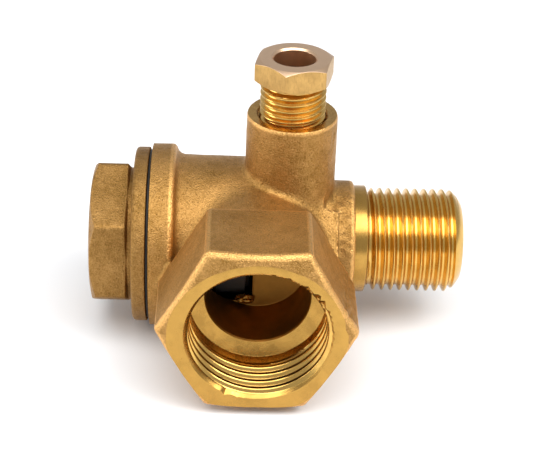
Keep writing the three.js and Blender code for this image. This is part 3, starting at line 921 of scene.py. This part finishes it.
class CHECKVALVE_OT_cap(bpy.types.Operator):
    """Makes the screwed cap."""

    bl_idname = "check_valve.cap"
    bl_label = "Make cap"

    def execute(self, context):
        materials = (
            cast_brass("cap brass", 0.78),
            turned_brass("cap turned brass", tuple(colours().turned), 0.24, 0.12),
        )

        def limit(along):
            return 12.5 + 0.9 * np.clip((PLUG_END - along) / 1.2, 0, 1)

        plug = screw(12.45, 13.4, 1.5, (CAP_FACE - 0.4, -12.8), (12.5, 12.5), limit=limit)
        pocket = spin(rounded([
            (0, POCKET_END, 0), (8.8, POCKET_END, 0.4), (8.8, -13.2, 0.1), (9.5, -12.5, 0.1),
            (9.5, -11, 0), (0, -11, 0),
        ]))
        piece = carve(
            "cap_forging", (cap_head(), CAST), [(plug, TURNED)], [(pocket, TURNED)], materials
        )
        shade(piece, 34)
        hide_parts("end_cap")
        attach(piece, "cap")
        return {"FINISHED"}


class CHECKVALVE_OT_seal(bpy.types.Operator):
    """Makes the flat seal ring between the flanges."""

    bl_idname = "check_valve.seal"
    bl_label = "Make seal ring"

    def execute(self, context):
        low, high = FLANGE_FACE - 0.6, FLANGE_FACE - 0.05
        ring = spin(rounded([
            (15, low, 0), (17.2, low, 0.2), (17.2, high, 0.2), (13.9, high, 0.1),
            (13.9, low, 0.1), (15, low, 0),
        ]))
        piece = make_object("seal_ring", ring, 0, (rubber("seal rubber"),))
        shade(piece)
        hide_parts("cap_seal_ring")
        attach(piece, "cap_seal")
        return {"FINISHED"}


# ------------------------------------------------------------------ piston and spring


def spring_wire():
    """A round wire along a helix whose first and last turns lie closed.

    The middle line is (start + rise(t), R cos 2 pi n t, R sin 2 pi n t); the wire's
    section is a circle in the plane of the outward and sideways directions.
    """
    wire = sizes().wire / MM
    turns, mean = 9, 6.5
    gap = 0.12
    start, stop = POCKET_END + gap + wire, -4.6 - gap - wire
    t = np.linspace(0, 1, turns * 40 + 1)[:, None]
    closed = 1 / turns
    lift = 2.2 * wire
    low = np.minimum(t / closed, 1) * lift
    high = np.maximum((t - 1 + closed) / closed, 0) * lift
    middle = np.clip((t - closed) / (1 - 2 * closed), 0, 1) * (stop - start - 2 * lift)
    turn = 2 * np.pi * turns * t
    line = np.concatenate(
        (start + low + middle + high, mean * np.cos(turn), mean * np.sin(turn)), axis=1
    )
    ahead = unit(np.gradient(line, axis=0))
    out = np.concatenate((np.zeros_like(t), np.cos(turn), np.sin(turn)), axis=1)
    side = np.cross(ahead, out)
    section = np.linspace(0, 2 * np.pi, 16, endpoint=False)[None, :, None]
    size = np.full((len(t), 1, 1), wire)
    size[0] = size[-1] = 0
    size[1] = size[-2] = wire * 0.9
    ring = out[:, None] * np.cos(section) + side[:, None] * np.sin(section)
    points = line[:, None] + size * ring
    walked = np.broadcast_to(section[..., 0] * wire, points.shape[:2])
    return grid_surface(points, walked)


class CHECKVALVE_OT_spring(bpy.types.Operator):
    """Makes the compression spring."""

    bl_idname = "check_valve.spring"
    bl_label = "Make spring"

    def execute(self, context):
        piece = make_object("spring_coil", spring_wire(), 0, (spring_steel("spring steel"),))
        shade(piece, 60)
        low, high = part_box("check_spring")
        travel = next(j for j in frame["joints"] if j["name"] == "piston_slide")["range_m"][1]
        coil = high[0] - low[0]
        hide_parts("check_spring")
        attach(piece, "cap")
        (coil - travel) / coil
        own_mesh(piece)
        return {"FINISHED"}


class CHECKVALVE_OT_piston(bpy.types.Operator):
    """Makes the moulded piston and the rubber disc in its face."""

    bl_idname = "check_valve.piston"
    bl_label = "Make piston"

    def execute(self, context):
        body = spin(rounded([
            (0, -3.25, 0), (10.55, -3.25, 0.1), (10.55, -2.1, 0.1), (11.7, -2.1, 0.35),
            (11.7, -8.3, 0.4), (8.55, -8.3, 0.3), (8.55, -17.2, 0.3), (7.4, -17.2, 0.15),
            (7.4, -4.6, 0.5), (0, -4.6, 0),
        ]))
        piston = make_object("piston_moulding", body, 0, (moulding("piston grey"),))
        shade(piston)
        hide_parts("check_piston")
        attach(piston, "piston")
        face = spin(rounded([
            (0, -3.1, 0), (10.4, -3.1, 0.1), (10.4, -1.3, 0.25), (6.4, -1.3, 0.3),
            (6.2, -1.45, 0.3), (0, -1.45, 0),
        ]))
        disc = make_object("piston_rubber", face, 0, (rubber("piston rubber"),))
        shade(disc)
        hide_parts("piston_seal_disc")
        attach(disc, "piston")
        return {"FINISHED"}


# ------------------------------------------------------------------ tube nut


def nut_head():
    """Hexagon between two turned-off ends; each cone meets a side in its own curve."""
    angles, radius = hexagon(sizes().nut_flats / MM, 0.18, 17)
    circle = 6.85
    slope = math.tan(math.radians(30))
    top = NUT_TOP - slope * (radius - circle)
    bottom = NUT_HEX_BOTTOM + slope * (radius - circle)
    profile = rounded([
        (0, NUT_HEX_BOTTOM, 0), (circle, NUT_HEX_BOTTOM, 0.12), (radius, bottom, 0.05),
        (radius, top, 0.06), (circle, NUT_TOP, 0.15), (0, NUT_TOP, 0),
    ])
    return spin(profile, "z", (BOSS_X, 0), angles)


class CHECKVALVE_OT_nut(bpy.types.Operator):
    """Makes the tube nut and its compression ring."""

    bl_idname = "check_valve.nut"
    bl_label = "Make tube nut"

    def execute(self, context):
        bore = sizes().tube_bore / MM
        axis = (BOSS_X, 0)
        materials = (
            nut_brass("nut brass"),
            turned_brass("nut thread brass", tuple(colours().threaded), 0.17, 0.10),
        )

        def limit(along):
            lead = np.clip((along - NUT_BOTTOM) / 0.9, 0, 1)
            runout = np.clip((NUT_HEX_BOTTOM - 0.7 - along) / 0.5, 0, 1)
            return 5.7 + 0.75 * np.minimum(lead, runout)

        thread = screw(
            5.7, 6.45, INCH / 19, (NUT_BOTTOM, NUT_HEX_BOTTOM + 0.6), (5.7, 5.7), "z", axis,
            limit=limit, segments=96,
        )
        hole = spin(rounded([
            (0, NUT_BOTTOM - 2, 0), (5.1, NUT_BOTTOM - 2, 0), (5.1, NUT_BOTTOM, 0.05),
            (bore, NUT_BOTTOM + 1.5, 0.1), (bore, NUT_TOP - 0.35, 0.12),
            (bore + 0.4, NUT_TOP, 0.05), (bore + 0.4, NUT_TOP + 2, 0), (0, NUT_TOP + 2, 0),
        ]), "z", axis)
        piece = carve(
            "nut_turning", (nut_head(), CAST), [(thread, TURNED)], [(hole, CAST)], materials
        )
        shade(piece, 28)
        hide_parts("tube_nut")
        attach(piece, "nut")
        low, high = (np.array(corner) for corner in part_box("tube_ferrule"))
        base, tip = (low[2] - AXES[2]) / MM, (high[2] - AXES[2]) / MM
        ring = spin(rounded([
            (bore, 21, 0), (bore, base, 0.05), (4.6, base, 0.1), (5.3, base + 1.1, 0.3),
            (5.3, tip - 1.4, 0.3), (bore + 0.15, tip, 0.05), (bore, tip, 0), (bore, 21, 0),
        ]), "z", axis)
        ferrule = make_object("compression_ring", ring, 0, materials[1:])
        shade(ferrule)
        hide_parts("tube_ferrule")
        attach(ferrule, "ferrule")
        return {"FINISHED"}


# ------------------------------------------------------------------ studio


def add_light(name, energy, size, place, target):
    light = bpy.data.lights.new(name, "AREA")
    light.shape = "RECTANGLE"
    light.size, light.size_y = size
    light.energy = energy
    lamp = bpy.data.objects.new(name, light)
    bpy.context.scene.collection.objects.link(lamp)
    lamp.location = place
    lamp.rotation_euler = (Vector(target) - Vector(place)).to_track_quat("-Z", "Y").to_euler()


class CHECKVALVE_OT_stage(bpy.types.Operator):
    """Makes the floor, the lights and the camera."""

    bl_idname = "check_valve.stage"
    bl_label = "Make studio"

    def execute(self, context):
        self.make_floor()
        self.make_lights()
        self.make_camera()
        return {"FINISHED"}

    def make_floor(self):
        """A pale sweep: flat under the valve, curving up behind it."""
        u = np.linspace(-1, 1, 41)[None, :]
        v = np.linspace(0, 1, 61)[:, None]
        flat_share, half_width, front, back, bend = 0.72, 1.6, 1.2, 0.9, 0.5
        below = 0.0002
        flat = v < flat_share
        angle = np.maximum(v - flat_share, 0) / (1 - flat_share) * np.pi / 2
        depth = np.where(
            flat, v / flat_share * (back + front), back + front + bend * np.sin(angle)
        ) - front
        height = np.where(flat, 0, 2 * bend * (1 - np.cos(angle))) - below
        points = np.stack((u * half_width + 0 * v, depth + 0 * u, height + 0 * u), axis=-1)
        index = np.arange(u.size * v.size).reshape(v.size, u.size)
        quads = np.stack(
            (index[:-1, :-1], index[:-1, 1:], index[1:, 1:], index[1:, :-1]), axis=-1
        ).reshape(-1, 4)
        mesh = bpy.data.meshes.new("studio_floor")
        mesh.from_pydata(points.reshape(-1, 3).tolist(), [], quads.tolist())
        mesh.polygons.foreach_set("use_smooth", np.ones(len(mesh.polygons), bool))
        f = Finish("floor")
        mesh.materials.append(f.finish(base_color=(*colours().floor, 1), roughness=0.9))
        floor = bpy.data.objects.new("studio_floor", mesh)
        bpy.context.scene.collection.objects.link(floor)

    def make_lights(self):
        middle = Vector(AXES)
        for name, watts, size, rise, turn, away in (
            ("overhead softbox", 3.9, (0.80, 0.44), 66, -4, 0.60),
            ("right softbox", 1.7, (0.30, 0.36), 44, 60, 0.60),
            ("left softbox", 1.5, (0.26, 0.40), 12, -88, 0.60),
        ):
            rise, turn = math.radians(rise), math.radians(turn)
            toward = Vector((
                math.cos(rise) * math.sin(turn), -math.cos(rise) * math.cos(turn), math.sin(rise)
            ))
            add_light(name, watts, size, middle + away * toward, middle)
        world = bpy.data.worlds.new("studio")
        world.use_nodes = True
        back = world.node_tree.nodes["Background"]
        back.inputs["Color"].default_value = (0.92, 0.95, 1.0, 1)
        back.inputs["Strength"].default_value = 0.52
        bpy.context.scene.world = world
        bpy.context.scene.view_settings.view_transform = "Standard"

    def make_camera(self):
        """A camera 320 mm away, 30 degrees up and 2 degrees to the left, tilted a little.

        The view's own right and up are turned by the tilt; the valve's axes meet a few
        millimetres left of and below the picture's middle.
        """
        turn, rise, tilt = (math.radians(a) for a in (-1.97, 30.19, 2.3))
        distance, aside, below = 319.5, -3.84, -2.21
        back = np.array((
            math.sin(turn) * math.cos(rise), -math.cos(turn) * math.cos(rise), math.sin(rise)
        ))
        level = np.array((math.cos(turn), math.sin(turn), 0))
        upright = np.cross(level, -back)
        right = math.cos(tilt) * level + math.sin(tilt) * upright
        up = math.cos(tilt) * upright - math.sin(tilt) * level
        place = (-aside * right - below * up + distance * back) * MM + AXES
        data = bpy.data.cameras.new("view")
        data.sensor_width = 36
        data.lens = 102.2
        data.clip_start = 0.01
        camera = bpy.data.objects.new("view", data)
        bpy.context.scene.collection.objects.link(camera)
        matrix = np.eye(4)
        matrix[:3, :4] = np.stack((right, up, back, place), axis=1)
        camera.matrix_world = Matrix(matrix.tolist())
        bpy.context.scene.camera = camera


# ------------------------------------------------------------------ add-on


class CHECKVALVE_PT_panel(bpy.types.Panel):
    """Lists the sizes, the colours and the makers of the valve's pieces."""

    bl_idname = "CHECKVALVE_PT_panel"
    bl_label = "Check valve"
    bl_space_type = "VIEW_3D"
    bl_region_type = "UI"
    bl_category = "Check valve"

    def draw(self, context):
        layout = self.layout
        for maker in MAKERS:
            layout.operator(maker.bl_idname)
        for group in (sizes(), colours()):
            box = layout.box()
            for name in group.bl_rna.properties.keys():
                if name not in ("rna_type", "name"):
                    box.prop(group, name)


MAKERS = (
    CHECKVALVE_OT_stage,
    CHECKVALVE_OT_body,
    CHECKVALVE_OT_cap,
    CHECKVALVE_OT_seal,
    CHECKVALVE_OT_spring,
    CHECKVALVE_OT_piston,
    CHECKVALVE_OT_nut,
)
CLASSES = (CheckValveSizes, CheckValveColours, *MAKERS, CHECKVALVE_PT_panel)


def register():
    for cls in CLASSES:
        bpy.utils.register_class(cls)
    bpy.types.Scene.check_valve_sizes = PointerProperty(type=CheckValveSizes)
    bpy.types.Scene.check_valve_colours = PointerProperty(type=CheckValveColours)


def unregister():
    del bpy.types.Scene.check_valve_colours
    del bpy.types.Scene.check_valve_sizes
    for cls in reversed(CLASSES):
        bpy.utils.unregister_class(cls)


def plain(corners):
    return [[float(value) for value in corner] for corner in corners]


def main():
    register()
    for maker in MAKERS:
        group, name = maker.bl_idname.split(".")
        getattr(getattr(bpy.ops, group), name)()


if __name__ == "__main__":
    main()
